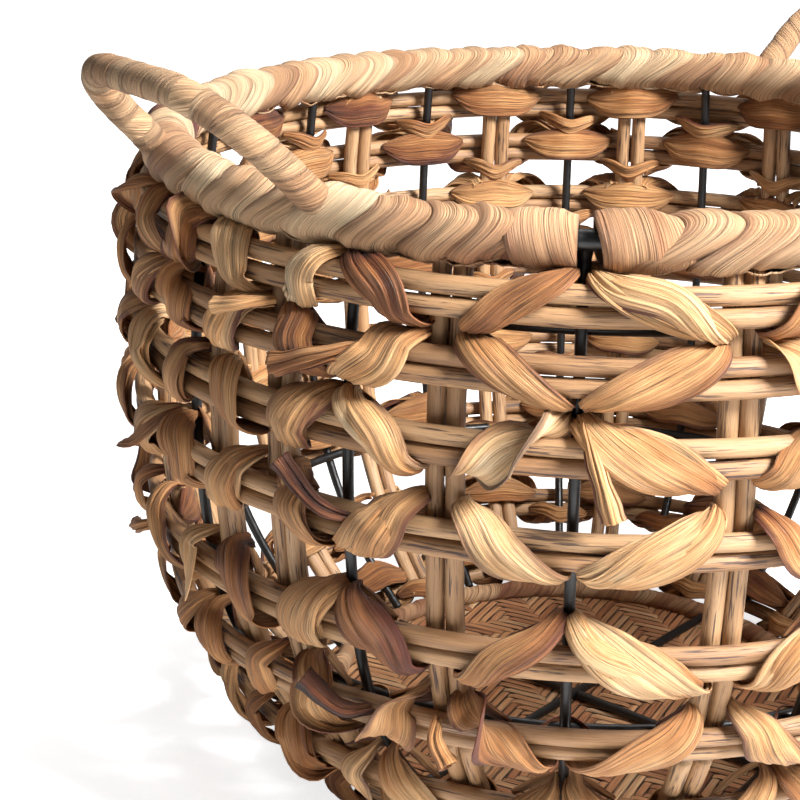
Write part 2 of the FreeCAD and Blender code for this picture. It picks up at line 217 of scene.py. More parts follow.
def leaf_sheet(grids, path, facing, half, tone, arch=0.7, hem=0.0, rib=0.15, pleat=0.0003, tip=0.2,
               tip_dark=0.0, twist=None, columns=28, guide=None):
    """A leaf strip along a path.

    half is the half width per point, arch how far the strip is bent across (radians, number or per
    point), hem how far one edge is folded under, rib the crease along the middle, pleat the depth
    of the lengthwise pleats, tip how much deeper they get where the strip is pinched, guide a path
    that sets the width's direction in place of the strip's own.
    """
    along, side, normal = path_frames(path if guide is None else guide, facing)
    if twist is not None:
        turned = side * np.cos(twist)[:, None] + normal * np.sin(twist)[:, None]
        normal = normal * np.cos(twist)[:, None] - side * np.sin(twist)[:, None]
        side = turned
    count = len(path)
    v = np.linspace(-1, 1, columns)[None, :]
    arch = np.broadcast_to(arch, (count,))[:, None]
    fold = np.clip((v * math.copysign(1, hem) - 0.62) / 0.38, 0, 1)
    angle = arch * v + hem * fold ** 1.5 + rib * np.tanh(v * 9)
    x = np.cumsum(np.cos(angle), axis=1) * 2 / columns
    y = -np.cumsum(np.sin(angle), axis=1) * 2 / columns
    x = (x - x.mean(1, keepdims=True)) * half[:, None]
    y = (y - y.mean(1, keepdims=True)) * half[:, None]
    waves = np.zeros_like(x)
    t = np.linspace(0, 1, count)[:, None]
    for speed, size in ((rng.uniform(3, 6), 0.9), (rng.uniform(8, 13), 0.9), (rng.uniform(18, 27), 0.6)):
        drift = rng.uniform(-1.5, 1.5) * t
        waves = waves + size * np.sin(v * speed + drift + rng.uniform(0, 6.3))
    pinch = 1 - half[:, None] / half.max()
    waves = waves * (pleat + tip * 0.001 * pinch)
    points = path[:, None] + side[:, None] * x[..., None] + normal[:, None] * (y + waves)[..., None]
    steps = np.linalg.norm(np.diff(path, axis=0), axis=1)
    length = np.concatenate([[0], np.cumsum(steps)])
    grain = np.stack(np.broadcast_arrays(length[:, None], v * half.max(), rng.uniform(0, 50)), -1)
    from_tip = t if rng.random() < 0.5 else 1 - t
    dark = tip_dark * np.clip(1 - 2.2 * from_tip, 0, 1)
    shade = tone + rng.uniform(-0.14, 0.14) * (2 * t - 1) + rng.uniform(-0.12, 0.12) * v
    edge = rng.uniform(0.7, 1.0) if rng.random() < 0.42 else 0.15
    tones = np.stack(np.broadcast_arrays(np.clip(shade, 0, 1), 1 - np.abs(v), dark, edge), -1)
    grids.add(points, grain, tones)


def tube(grids, path, radius, tone, sides=14, loop=False, seed=0.0):
    """A round rod along a path; radius is a number or one per point."""
    if loop:
        along = unit(np.roll(path, -1, 0) - np.roll(path, 1, 0))
    else:
        along = unit(np.gradient(path, axis=0))
    across = unit(np.cross(along, np.array([0, 0, 1.0]) + 0 * along))
    upright = np.abs(along[:, 2:]) > 0.9
    across = unit(np.where(upright, np.cross(along, outward(0.0) + 0 * along), across))
    other = np.cross(along, across)
    angle = np.linspace(0, 2 * math.pi, sides, endpoint=False)[None, :, None]
    radius = np.broadcast_to(radius, (len(path),))[:, None, None]
    ring = across[:, None] * np.cos(angle) + other[:, None] * np.sin(angle)
    points = path[:, None] + ring * radius
    steps = np.linalg.norm(np.diff(path, axis=0), axis=1)
    length = np.concatenate([[0], np.cumsum(steps)])[:, None]
    round_about = ROD * np.sin(angle[..., 0]) + seed
    grain = np.stack(np.broadcast_arrays(length, round_about, ROD * np.cos(angle[..., 0]) + seed), -1)
    tones = np.zeros(points.shape[:2] + (4,))
    tones[...] = (tone, 1, 0, 1)
    grids.add(points, grain, tones, wrap=True, loop=loop)


def wobble(count, size, waves, closed=True):
    """Slow smooth random wander of a given size, periodic over the count if closed."""
    t = np.linspace(0, 2 * math.pi, count, endpoint=not closed)
    total = np.zeros(count)
    for wave in waves:
        total += np.sin(wave * t + rng.uniform(0, 6.3)) * rng.uniform(0.4, 1.0)
    return size * total / len(waves)


# ---- materials ----------------------------------------------------------------------------------

def colour(red, green, blue):
    """Linear RGBA from 0-255 screen values."""
    values = [c / 255 for c in (red, green, blue)]
    return [c / 12.92 if c <= 0.04045 else ((c + 0.055) / 1.055) ** 2.4 for c in values] + [1]


class Nodes:
    """A material's node tree with short helpers."""

    def __init__(self, name):
        self.material = bpy.data.materials.new(name)
        self.material.use_nodes = True
        self.tree = self.material.node_tree
        self.shader = self.tree.nodes["Principled BSDF"]

    def add(self, kind, **settings):
        node = self.tree.nodes.new(kind)
        for key, value in settings.items():
            setattr(node, key, value)
        return node

    def link(self, source, target):
        self.tree.links.new(source, target)

    def attribute(self, name):
        return self.add("ShaderNodeAttribute", attribute_name=name)

    def math(self, operation, first, second=None, clamp=False):
        node = self.add("ShaderNodeMath", operation=operation, use_clamp=clamp)
        for socket, value in zip(node.inputs, (first, second)):
            if isinstance(value, (int, float)):
                socket.default_value = value
            elif value is not None:
                self.link(value, socket)
        return node.outputs[0]

    def scaled(self, vector, scale):
        node = self.add("ShaderNodeVectorMath", operation="MULTIPLY")
        self.link(vector, node.inputs[0])
        node.inputs[1].default_value = scale
        return node.outputs[0]

    def noise(self, vector, detail=3.0, roughness=0.6, scale=1.0):
        node = self.add("ShaderNodeTexNoise")
        self.link(vector, node.inputs["Vector"])
        node.inputs["Scale"].default_value = scale
        node.inputs["Detail"].default_value = detail
        node.inputs["Roughness"].default_value = roughness
        return node.outputs["Fac"]

    def ramp(self, value, stops):
        node = self.add("ShaderNodeValToRGB")
        elements = node.color_ramp.elements
        while len(elements) < len(stops):
            elements.new(0.5)
        for element, (position, tint) in zip(elements, stops):
            element.position = position
            element.color = tint
        self.link(value, node.inputs[0])
        return node.outputs[0]

    def mix(self, factor, first, second, blend="MIX"):
        node = self.add("ShaderNodeMix", data_type="RGBA", blend_type=blend)
        for socket, value in ((node.inputs[0], factor), (node.inputs[6], first), (node.inputs[7], second)):
            if isinstance(value, (int, float)) or isinstance(value, list):
                socket.default_value = value
            else:
                self.link(value, socket)
        return node.outputs[2]

    def bump(self, height, distance, strength=1.0):
        node = self.add("ShaderNodeBump")
        node.inputs["Strength"].default_value = strength
        node.inputs["Distance"].default_value = distance
        self.link(height, node.inputs["Height"])
        self.link(node.outputs[0], self.shader.inputs["Normal"])


def grey(level):
    return [level, level, level, 1]


def leaf_material(name, stops, edge_dark, sheen=0.05, crease=0.5):
    """Dried leaf: tone picks the colour, with fine fibres and creases along the strip; the creases and pleat
    grooves are darkened with painted shade.
    """
    nodes = Nodes(name)
    grain = nodes.attribute("grain").outputs["Vector"]
    stored = nodes.attribute("tone")
    tone = nodes.add("ShaderNodeSeparateColor")
    nodes.link(stored.outputs["Color"], tone.inputs[0])
    fibres = nodes.noise(nodes.scaled(grain, (22, 3600, 3)), 3.0, 0.65)
    pleats = nodes.noise(nodes.scaled(grain, (14, 1500, 3)), 3.0, 0.6)
    # patches that set how strongly the pleat grooves are darkened with painted shade
    groove_shade_patches = nodes.noise(nodes.scaled(grain, (70, 260, 3)), 1.0, 0.5)
    bands = nodes.noise(nodes.scaled(grain, (12, 330, 3)), 1.0, 0.5)
    patches = nodes.noise(nodes.scaled(grain, (60, 110, 3)), 2.0, 0.5)
    banding = nodes.math("MULTIPLY", nodes.math("SUBTRACT", bands, 0.5), 0.34)
    place = nodes.math("ADD", tone.outputs[0], banding)
    place = nodes.math("ADD", place, nodes.math("MULTIPLY", nodes.math("SUBTRACT", patches, 0.5), 0.40))
    place = nodes.math("SUBTRACT", place, nodes.math("MULTIPLY", tone.outputs[2], 0.55), clamp=True)
    base = nodes.ramp(place, stops)
    lines = nodes.ramp(fibres, [(0.34, grey(0.56)), (0.46, grey(0.92)), (0.62, grey(1.12))])
    base = nodes.mix(1.0, base, lines, "MULTIPLY")
    # painted shade: thin dark lines along the creases, on top of their bump
    folds = nodes.noise(nodes.scaled(grain, (9, 620, 3)), 2.0, 0.5)
    creases = nodes.math("ABSOLUTE", nodes.math("SUBTRACT", folds, 0.5))
    painted_crease_shade = nodes.ramp(creases, [(0.0, grey(0.42)), (0.010, grey(0.70)), (0.024, grey(1.0))])
    base = nodes.mix(crease, base, painted_crease_shade, "MULTIPLY")
    # painted shade: the pleat grooves are darkened, more strongly in patches
    painted_groove_shade = nodes.ramp(pleats, [(0.39, grey(0.30)), (0.45, grey(1.0))])
    depth = nodes.ramp(groove_shade_patches, [(0.40, grey(0.12)), (0.62, grey(0.85))])
    base = nodes.mix(depth, base, painted_groove_shade, "MULTIPLY")
    rim = nodes.ramp(tone.outputs[1], [(0.0, grey(1.0)), (0.14, grey(0.9)), (0.34, grey(0.0))])
    rim = nodes.math("MULTIPLY", rim, nodes.ramp(patches, [(0.34, grey(0.25)), (0.52, grey(1.0))]))
    base = nodes.mix(nodes.math("MULTIPLY", rim, stored.outputs["Alpha"]), base, edge_dark)
    nodes.link(base, nodes.shader.inputs["Base Color"])
    rough = nodes.ramp(bands, [(0.3, grey(0.48)), (0.7, grey(0.66))])
    nodes.link(rough, nodes.shader.inputs["Roughness"])
    nodes.shader.inputs["Specular IOR Level"].default_value = 0.38
    nodes.shader.inputs["Sheen Weight"].default_value = sheen
    nodes.shader.inputs["Sheen Roughness"].default_value = 0.5
    height = nodes.math("ADD", nodes.math("MULTIPLY", fibres, 0.6), nodes.math("MULTIPLY", pleats, 1.3))
    height = nodes.math("ADD", height, nodes.math("MULTIPLY", nodes.math("MINIMUM", creases, 0.04), 7.0))
    nodes.bump(height, 0.0013, 1.0)
    return nodes.material


def rattan_material():
    """Peeled rattan core: honey tan, fine pores and dark dashes along the rod."""
    nodes = Nodes("rattan")
    grain = nodes.attribute("grain").outputs["Vector"]
    tone = nodes.add("ShaderNodeSeparateColor")
    nodes.link(nodes.attribute("tone").outputs["Color"], tone.inputs[0])
    pores = nodes.noise(nodes.scaled(grain, (90, 2600, 2600)), 3.0, 0.65)
    stripes = nodes.noise(nodes.scaled(grain, (9, 420, 420)), 2.0, 0.5)
    dashes = nodes.noise(nodes.scaled(grain, (55, 1150, 1150)), 3.0, 0.55)
    cloud = nodes.noise(nodes.scaled(grain, (32, 190, 190)), 2.0, 0.5)
    striping = nodes.math("MULTIPLY", nodes.math("SUBTRACT", stripes, 0.5), 0.7)
    place = nodes.math("ADD", tone.outputs[0], striping)
    base = nodes.ramp(place, [(0.05, colour(124, 86, 58)), (0.4, colour(170, 130, 92)),
                              (0.7, colour(192, 154, 114)), (1.0, colour(214, 182, 144))])
    fine = nodes.ramp(pores, [(0.34, grey(0.74)), (0.48, grey(0.98)), (0.7, grey(1.05))])
    base = nodes.mix(1.0, base, fine, "MULTIPLY")
    dark = nodes.ramp(dashes, [(0.535, grey(0.0)), (0.595, grey(1.0))])
    spread = nodes.ramp(cloud, [(0.42, grey(0.0)), (0.54, grey(1.0))])
    marks = nodes.math("MULTIPLY", nodes.math("MULTIPLY", dark, spread), 0.85)
    base = nodes.mix(marks, base, colour(58, 44, 46))
    nodes.link(base, nodes.shader.inputs["Base Color"])
    nodes.shader.inputs["Roughness"].default_value = 0.46
    nodes.shader.inputs["Specular IOR Level"].default_value = 0.42
    nodes.bump(nodes.math("SUBTRACT", pores, nodes.math("MULTIPLY", dark, 0.4)), 0.0004, 0.6)
    return nodes.material


def black_paint():
    """Black paint on steel rod, a little uneven, with dust specks."""
    nodes = Nodes("black_paint")
    place = nodes.add("ShaderNodeTexCoord").outputs["Object"]
    lumps = nodes.noise(nodes.scaled(place, (260, 260, 140)), 2.0, 0.5)
    specks = nodes.noise(nodes.scaled(place, (1500, 1500, 1500)), 1.0, 0.5)
    dust = nodes.ramp(specks, [(0.70, grey(0.0)), (0.78, grey(1.0))])
    base = nodes.mix(nodes.math("MULTIPLY", dust, 0.35), colour(9, 9, 10), colour(84, 78, 72))
    nodes.link(base, nodes.shader.inputs["Base Color"])
    nodes.link(nodes.ramp(lumps, [(0.3, grey(0.34)), (0.7, grey(0.50))]), nodes.shader.inputs["Roughness"])
    nodes.shader.inputs["Coat Weight"].default_value = 0.15
    nodes.shader.inputs["Coat Roughness"].default_value = 0.16
    nodes.bump(lumps, 0.0006, 0.5)
    return nodes.material


def floor_material():
    """Plain white studio floor with a faint unevenness."""
    nodes = Nodes("studio_floor")
    place = nodes.add("ShaderNodeTexCoord").outputs["Object"]
    cloud = nodes.noise(nodes.scaled(place, (3, 3, 3)), 2.0, 0.5)
    nodes.link(nodes.ramp(cloud, [(0.2, grey(0.90)), (0.8, grey(0.93))]), nodes.shader.inputs["Base Color"])
    nodes.shader.inputs["Roughness"].default_value = 0.8
    nodes.shader.inputs["Emission Color"].default_value = (1, 1, 1, 1)
    seen = nodes.add("ShaderNodeLightPath").outputs["Is Camera Ray"]
    nodes.link(nodes.math("MULTIPLY", seen, 0.76), nodes.shader.inputs["Emission Strength"])
    return nodes.material


STRAND_STOPS = [(0.00, colour(50, 28, 24)), (0.16, colour(112, 60, 34)), (0.36, colour(174, 114, 64)),
                (0.58, colour(216, 160, 104)), (0.80, colour(236, 190, 138)), (1.00, colour(248, 222, 182))]
RIM_STOPS = [(0.00, colour(104, 52, 46)), (0.20, colour(162, 110, 76)), (0.45, colour(204, 158, 116)),
             (0.70, colour(224, 186, 144)), (1.00, colour(236, 212, 172))]
HANDLE_STOPS = [(0.00, colour(140, 98, 68)), (0.40, colour(186, 142, 102)), (0.75, colour(208, 170, 130)),
                (1.00, colour(224, 196, 158))]
FLOOR_STOPS = [(0.00, colour(150, 92, 58)), (0.40, colour(208, 140, 92)), (0.75, colour(228, 168, 116)),
               (1.00, colour(240, 194, 144))]


# ---- rods and stakes ----------------------------------------------------------------------------

def make_rods(row, material):
    """The row's two rattan rods, each slightly uneven as they are when woven by hand."""
    grids = Grids()
    count = 420
    azimuth = np.linspace(0, 360, count, endpoint=False) + 60
    for sign in (-1, 1):
        out = wobble(count, 0.0005, (5, 9, 14, 22))
        rise = sign * ROD_PITCH + wobble(count, 0.0005, (3, 7, 13, 19))
        path = row.point(azimuth, rise, out)
        radius = ROD * (0.97 + wobble(count, 0.03, (2, 5, 11)))
        tube(grids, path, radius, rng.uniform(0.30, 0.60), loop=True, seed=rng.uniform(0, 9))
    return grids.piece("rods_%d" % row.number, material)


def wall_line(azimuth, inset, low, high, count):
    """Points up the wall at one azimuth, inset from the rods' middle line, through every row."""
    levels = [(rows[n].height - inset * rows[n].out_z, rows[n].radius - inset * rows[n].up_r)
              for n in range(ROWS, 0, -1)]
    base, rim = levels[0], (rim_height, 2 * levels[-1][1] - levels[-2][1] - 0.0002)
    levels = [(low, base[1] - (base[0] - low) * 1.1)] + levels + [(max(high, rim[0]), rim[1])]
    heights, radii = np.array(levels).T
    curve = spline(np.stack([heights, radii], -1), 200)
    height = np.linspace(low, high, count)
    radius = np.interp(height, curve[:, 0], curve[:, 1])
    return outward(np.full(count, azimuth)) * radius[:, None] + np.array([0, 0, 1.0]) * height[:, None]


def make_stake(azimuth, node, material):
    """A pair of rattan rods side by side, with cut ends."""
    grids = Grids()
    low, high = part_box(node)
    count = 70
    for sign in (-1, 1):
        path = wall_line(azimuth, 0.0073, low.z + 0.001, high.z + 0.006, count)
        shift = sign * ROD_PITCH + wobble(count, 0.0006, (1, 2, 4), closed=False)
        path = path + sideways(np.full(count, azimuth)) * shift[:, None]
        path = path + outward(np.full(count, azimuth)) * wobble(count, 0.0003, (2, 5), closed=False)[:, None]
        radius = np.full(count, ROD * rng.uniform(0.92, 1.0))
        radius[[0, -1]] *= 0.05
        path[0], path[-1] = path[1], path[-2]
        tube(grids, path, radius, rng.uniform(0.42, 0.66), seed=rng.uniform(0, 9))
    return grids.piece(node.replace("rattan_stake", "stake_rods"), material)


# ---- leaf strands -------------------------------------------------------------------------------

def edge_rise(row, edge):
    """How far above or below the rods' middle the strand sits as it turns over their edge."""
    if edge < 0:
        return -(BAND + 0.0028)
    above = rim_low.z if row.number == 1 else rows[row.number - 1].height - BAND
    return BAND + 0.0022 + 0.22 * max(above - row.height - BAND, 0)


def pick_tone(azimuth, row):
    """Strand colour: mostly tan and golden, browner low down, and darker towards the first handle as painted
    shade on that side.
    """
    tone = rng.normal(0.62, 0.11)
    tone -= 0.05 * (row.number > 4)
    # painted shade: strands near the first handle are made darker, for the shade on that side of the basket
    tone -= 0.10 * max(0.0, 1 - abs(azimuth + 100) / 45)
    if rng.random() < 0.04:
        tone -= 0.36
    return float(np.clip(tone, 0.05, 0.95))


def strand_line(row, from_azimuth, keys, count):
    """A strand's line and its facing, from keys (metres on from an azimuth, rise, out)."""
    degree = math.degrees(1 / row.radius)
    line = spline(keys, count, crowd=0.35)
    azimuth = from_azimuth - line[:, 0] * degree
    path = row.point(azimuth, line[:, 1], line[:, 2])
    facing = row.direction(azimuth, line[:, 1] * 0.8, line[:, 2] + 0.001)
    return path, unit(facing)


def pinch_gap(kind):
    """How far beside a stake's middle the strand passes through the wall."""
    return 0.0072 + rng.uniform(0.0004, 0.0022) if kind == "rattan" else rng.uniform(0.0030, 0.0046)


def outside_blade(grids, row, index, layer):
    """The strand's stretch outside the rods, from one stake to the next."""
    ahead = (index + 1) % len(stakes)
    start, kind_a = stakes[index][:2]
    end, kind_b = stakes[ahead][:2]
    if ahead == 0:
        end -= 360
    span = (start - end) / math.degrees(1 / row.radius)
    edge_a, edge_b = row.edge(index), row.edge(ahead)
    rise_a = edge_rise(row, edge_a) + rng.uniform(-0.0008, 0.0008)
    rise_b = edge_rise(row, edge_b) + rng.uniform(-0.0008, 0.0008)
    gap_a, gap_b = pinch_gap(kind_a), pinch_gap(kind_b)
    proud = rng.uniform(0.0026, 0.0054) + 0.0016 * layer
    away = 0.0045 + rng.uniform(0, 0.002)
    drop = rng.uniform(-0.0015, 0.0015) + layer * rng.choice([-0.003, 0.003])
    keys = [
        (gap_a - 0.0010, rise_a * 0.86, -0.0095),
        (gap_a + 0.0002, rise_a, -0.0025),
        (gap_a + away, rise_a * 0.80, ROD + 0.0012),
        (span * 0.5, (rise_a + rise_b) * 0.45 + drop, ROD + proud),
        (span - gap_b - away, rise_b * 0.80, ROD + 0.0012),
        (span - gap_b - 0.0002, rise_b, -0.0025),
        (span - gap_b + 0.0010, rise_b * 0.86, -0.0095),
    ]
    count = 36
    path, facing = strand_line(row, start, keys, count)
    t = np.linspace(0, 1, count)
    widest = min(rng.uniform(0.0078, 0.0112), span * 0.36)
    style = rng.random()
    tips = [rng.uniform(0.0016, 0.0028), rng.uniform(0.0016, 0.0028)]
    skew = rng.uniform(0.75, 1.35)
    if style > 0.55:
        wide_end = rng.integers(2)
        tips[wide_end] = rng.uniform(0.0042, 0.0070)
    body = np.sin(math.pi * np.clip((t ** skew - 0.07) / 0.86, 0, 1)) ** rng.uniform(0.65, 1.0)
    base = tips[0] * (1 - t) + tips[1] * t
    half = base + (widest - base) * body
    arch = 1.25 - 0.85 * body + rng.uniform(-0.2, 0.3)
    twist = rng.uniform(-0.30, 0.30) * body
    if layer == 0 and 0.30 < style < 0.58:
        turn = rng.choice([-1, 1]) * math.pi
        middle = rng.uniform(0.30, 0.70)
        twist = turn / (1 + np.exp(-(t - middle) * rng.uniform(11, 20)))
        arch = arch * 0.6
    hem = rng.choice([-1, 1]) * rng.uniform(1.2, 2.6) if rng.random() < 0.45 else 0.3
    tip_dark = rng.uniform(0.25, 0.8) if rng.random() < 0.35 else 0.0
    leaf_sheet(grids, path, facing, half, pick_tone(start, row), arch, hem, rng.uniform(0.0, 0.3),
               rng.uniform(0.00016, 0.00034), 0.35, tip_dark, twist, columns=34)


def inside_wrap(grids, row, index):
    """The strand's stretch round the inside of a stake: a broad boat above, a small one below."""
    azimuth, kind, _ = stakes[index]
    edge = row.edge(index)
    depth = -STAKE_DEPTH - 0.0018
    if row.number == 6:
        depth -= 0.0030
    if edge > 0:
        reach = rng.uniform(0.0185, 0.0235)
        tip, shoulder, middle = BAND * 0.72, BAND * 0.66, rng.uniform(0.0052, 0.0064)
        widest = rng.uniform(0.0078, 0.0098)
    else:
        reach = rng.uniform(0.0125, 0.0160)
        tip, shoulder, middle = -BAND * 0.80, -BAND * 0.98, -BAND - rng.uniform(0.0018, 0.0030)
        widest = rng.uniform(0.0042, 0.0056)
    lift = rng.uniform(-0.0015, 0.0015)
    keys = [
        (-reach, tip - lift, -0.0040),
        (-reach * 0.55, shoulder - lift * 0.5, -0.0100),
        (0, middle, depth),
        (reach * 0.55, shoulder + lift * 0.5, -0.0100),
        (reach, tip + lift, -0.0040),
    ]
    count = 28
    path, _ = strand_line(row, azimuth, keys, count)
    level = [(on, tip, out) for on, _, out in keys]
    guide, _ = strand_line(row, azimuth, level, count)
    facing = row.direction(np.full(count, azimuth), 0.25 * edge, -1.0)
    t = np.linspace(0, 1, count)
    body = np.sin(math.pi * t) ** 0.9
    half = 0.0012 + (widest - 0.0012) * body
    arch = 0.9 - 0.5 * body
    leaf_sheet(grids, path, facing, half, rng.normal(0.46, 0.09), arch, 0.1, 0.0, 0.00018, 0.25,
               columns=24, guide=guide)


def make_strand(row, material):
    grids = Grids()
    for index in range(len(stakes)):
        outside_blade(grids, row, index, 0)
        if rng.random() < 0.38:
            outside_blade(grids, row, index, 1)
        inside_wrap(grids, row, index)
    return grids.piece("leaf_strand_%d" % row.number, material, thickness=0.00045)


# Places where a strip ends: row, azimuth and rise (metres) of its start, its way on from there round the
# wall, up and out (metres), then its half width, how tightly it is rolled, and its colour.
LOOSE_ENDS = [
    (2, -73.0, 0.012, 0.016, -0.004, 0.008, 0.0085, 2.7, 0.60),
    (2, -60.0, 0.004, 0.034, -0.013, 0.004, 0.0060, 1.0, 0.34),
    (4, -62.0, 0.002, 0.024, 0.020, 0.003, 0.0078, 1.9, 0.10),
    (6, -62.0, 0.004, 0.020, 0.016, 0.004, 0.0078, 1.7, 0.12),
    (6, -53.5, 0.008, -0.008, -0.006, 0.011, 0.0080, 2.5, 0.42),
    (3, -38.2, 0.012, -0.010, -0.030, 0.004, 0.0052, 0.8, 0.66),
    (5, 24.0, 0.006, 0.018, 0.012, 0.006, 0.0070, 2.4, 0.45),
    (3, 75.0, 0.006, -0.020, 0.010, 0.004, 0.0060, 1.8, 0.35),
    (2, 140.0, 0.008, 0.016, -0.018, 0.003, 0.0052, 1.2, 0.50),
    (6, -140.0, 0.004, 0.022, -0.010, 0.005, 0.0060, 1.4, 0.30),
    (4, -170.0, 0.006, -0.018, 0.012, 0.005, 0.0070, 2.6, 0.05),
    (5, -100.0, 0.004, 0.020, -0.008, 0.005, 0.0060, 1.8, 0.40),
]


def make_loose_ends(material):
    """Cut ends of strips that stick out of the weave, rolled or flat, with ragged tips."""
    grids = Grids()
    for number, azimuth, rise, round_by, up_by, out_by, wide, rolled, tone in LOOSE_ENDS:
        row = rows[number]
        keys = [
            (0, rise, ROD - 0.0010),
            (round_by * 0.3, rise + up_by * 0.25, ROD + 0.0045 + out_by * 0.4),
            (round_by, rise + up_by, ROD + 0.0035 + out_by),
        ]
        count = 26
        path, facing = strand_line(row, azimuth, keys, count)
        t = np.linspace(0, 1, count)
        half = wide * (0.45 + 0.75 * t) + 0.0004 * np.sin(t * 19 + azimuth)
        leaf_sheet(grids, path, facing, half, tone, rolled, 0.9, 0.2, 0.00050, 0.5, 0.0, None, columns=30)
    return grids.piece("loose_ends", material, thickness=0.0005)


# ---- rim wrap -----------------------------------------------------------------------------------

# Azimuths where a turn of the winding is stained dark red.
STAINED_TURNS = (75.0, 232.0)


def turn_profile(v):
    """How proud a turn of wrapping stands, 0 to 1, from its covering edge (-1) to its covered one (+1)."""
    fall = 1 - np.clip((v + 0.30) / 1.0, 0, 1) ** 1.5
    lip = 1 - 0.45 * np.clip((-0.35 - v) / 0.65, 0, 1) ** 2
    return fall * lip


def wind_ring(grids, centre_radius, centre_height, radius, start, end, leads, slope, tones, lump):
    """Broad leaf strip wound round a ring in slanted turns, each one lapping over the turn before."""
    position = start
    tone = float(np.mean(tones))
    while position < end:
        lead = rng.uniform(*leads)
        if position + lead * 1.6 > end:
            lead = end - position
        width = lead * 1.62
        near_gap = min(1.0, (position - start) / 5.0, (end - position - lead) / 5.0)
        slant = slope * rng.uniform(0.75, 1.2) * max(near_gap, 0)
        count, columns = 46, 20
        turn = np.linspace(-math.pi / 2 - 0.5, 1.5 * math.pi + 0.5, count)[:, None]
        v = np.linspace(-1, 1, columns)[None, :]
        helix = lead * ((turn + math.pi / 2) / (2 * math.pi) - 0.5) * max(near_gap, 0)
        uneven = 0.12 * lead * np.sin(turn + rng.uniform(0, 6.3))
        azimuth = position + width / 2 + helix + slant * np.sin(2 * turn) / 2 + uneven + v * width / 2
        azimuth = np.clip(azimuth, start - 0.3, end + 0.5)
        swell = rng.uniform(0.8, 1.15) * (1 + 0.15 * np.sin(turn + rng.uniform(0, 6.3)))
        reach = radius + lump * turn_profile(v) * swell
        waves = 0
        for speed, size in ((rng.uniform(3, 6), 1.3), (rng.uniform(8, 13), 0.8), (rng.uniform(17, 26), 0.4)):
            waves = waves + size * np.sin(v * speed + turn * rng.uniform(-0.8, 0.8) + rng.uniform(0, 6.3))
        reach = reach + 0.09 * lump * waves
        points = outward(azimuth) * (centre_radius + reach * np.cos(turn))[..., None]
        points[..., 2] = centre_height + reach * np.sin(turn)
        tone = 0.3 * tone + 0.7 * rng.uniform(*tones)
        stained = any(position < spot <= position + lead for spot in STAINED_TURNS)
        colour_at = 0.03 if stained else tone
        colour_at = colour_at + 0.10 * np.sin(turn * rng.uniform(0.5, 1.5) + rng.uniform(0, 6.3))
        across = v * math.radians(width / 2) * centre_radius
        grain = np.stack(np.broadcast_arrays(turn * radius, across, rng.uniform(0, 50)), -1)
        shade = np.stack(np.broadcast_arrays(np.clip(colour_at, 0, 1), 1 - np.abs(v), 0.0, 0.55), -1)
        grids.add(points, grain, shade)
        position += lead


def make_rim(material):
    """The rim's winding, with the bare gap it has at the first wire."""
    grids = Grids()
    ring = rim_high.x - rim_outer
    level = (rim_low.z + rim_high.z) / 2
    bare_from, bare_to = FIRST_STAKE - 1.3, FIRST_STAKE + 1.1
    wind_ring(grids, ring, level, rim_outer - 0.0017, bare_to, bare_from + 360, (4.0, 8.0), 3.2,
              (0.22, 0.86), 0.0034)
    return grids.piece("rim_winding", material, thickness=0.0005)


def make_base_winding(material):
    """Narrow leaf strip wound round the steel ring at the edge of the floor."""
    grids = Grids()
    low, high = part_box("base_ring")
    rod = (high.z - low.z) / 2
    wind_ring(grids, high.x - rod, (low.z + high.z) / 2, rod + 0.0007, 0, 360, (3.5, 5.5), 0.8,
              (0.2, 0.6), 0.0010)
    return grids.piece("base_winding", material, thickness=0.0004)


def make_weld(material):
    """The flared weld where the first wire meets the top ring, in the winding's bare gap."""
    grids = Grids()
    count = 30
    height = np.linspace(rim_height - 0.0130, rim_height + 0.0018, count)
    inward = np.linspace(0.0057, 0.0026, count)
    path = outward(np.full(count, FIRST_STAKE)) * (top_ring_radius - inward)[:, None]
    path[:, 2] = height
    t = np.linspace(0, 1, count)
    radius = 0.0021 + 0.0024 * t ** 2.2
    radius[-5:] *= np.array([0.98, 0.90, 0.74, 0.48, 0.05])
    tube(grids, path, radius, 0.0, sides=24)
    return grids.piece("weld", material)


# ---- handles ------------------------------------------------------------------------------------

HANDLE = {"half": 0.056, "top_half": 0.052, "rise": 0.057, "bend": 0.036, "tilt": 45.0, "radius": 0.0061,
          "lead": 0.0118}


def handle_line(count):
    """The handle loop in its own plane: x along its chord, y away from the rim."""
    half, top, rise, bend = (HANDLE[k] for k in ("half", "top_half", "rise", "bend"))
    leg = math.atan2(half - top, rise)
    turn = math.pi / 2 - leg
    setback = bend * math.tan(turn / 2)
    start = np.array([half, 0.0])
    corner = np.array([top, rise])
    into = (corner - start) / np.linalg.norm(corner - start)
    first = corner - into * setback
    centre = np.array([corner[0] - setback, rise - bend])
    angles = np.linspace(math.atan2(*(first - centre)[::-1]), math.pi / 2, 40)
    arc = centre + bend * np.stack([np.cos(angles), np.sin(angles)], -1)
    right = np.concatenate([[start], [(start + first) / 2], arc])
    left = right[::-1] * (-1, 1)
    line = np.concatenate([right, left])
    steps = np.concatenate([[0], np.cumsum(np.linalg.norm(np.diff(line, axis=0), axis=1))])
    even = np.linspace(0, steps[-1], count)
    return np.stack([np.interp(even, steps, line[:, i]) for i in (0, 1)], -1)


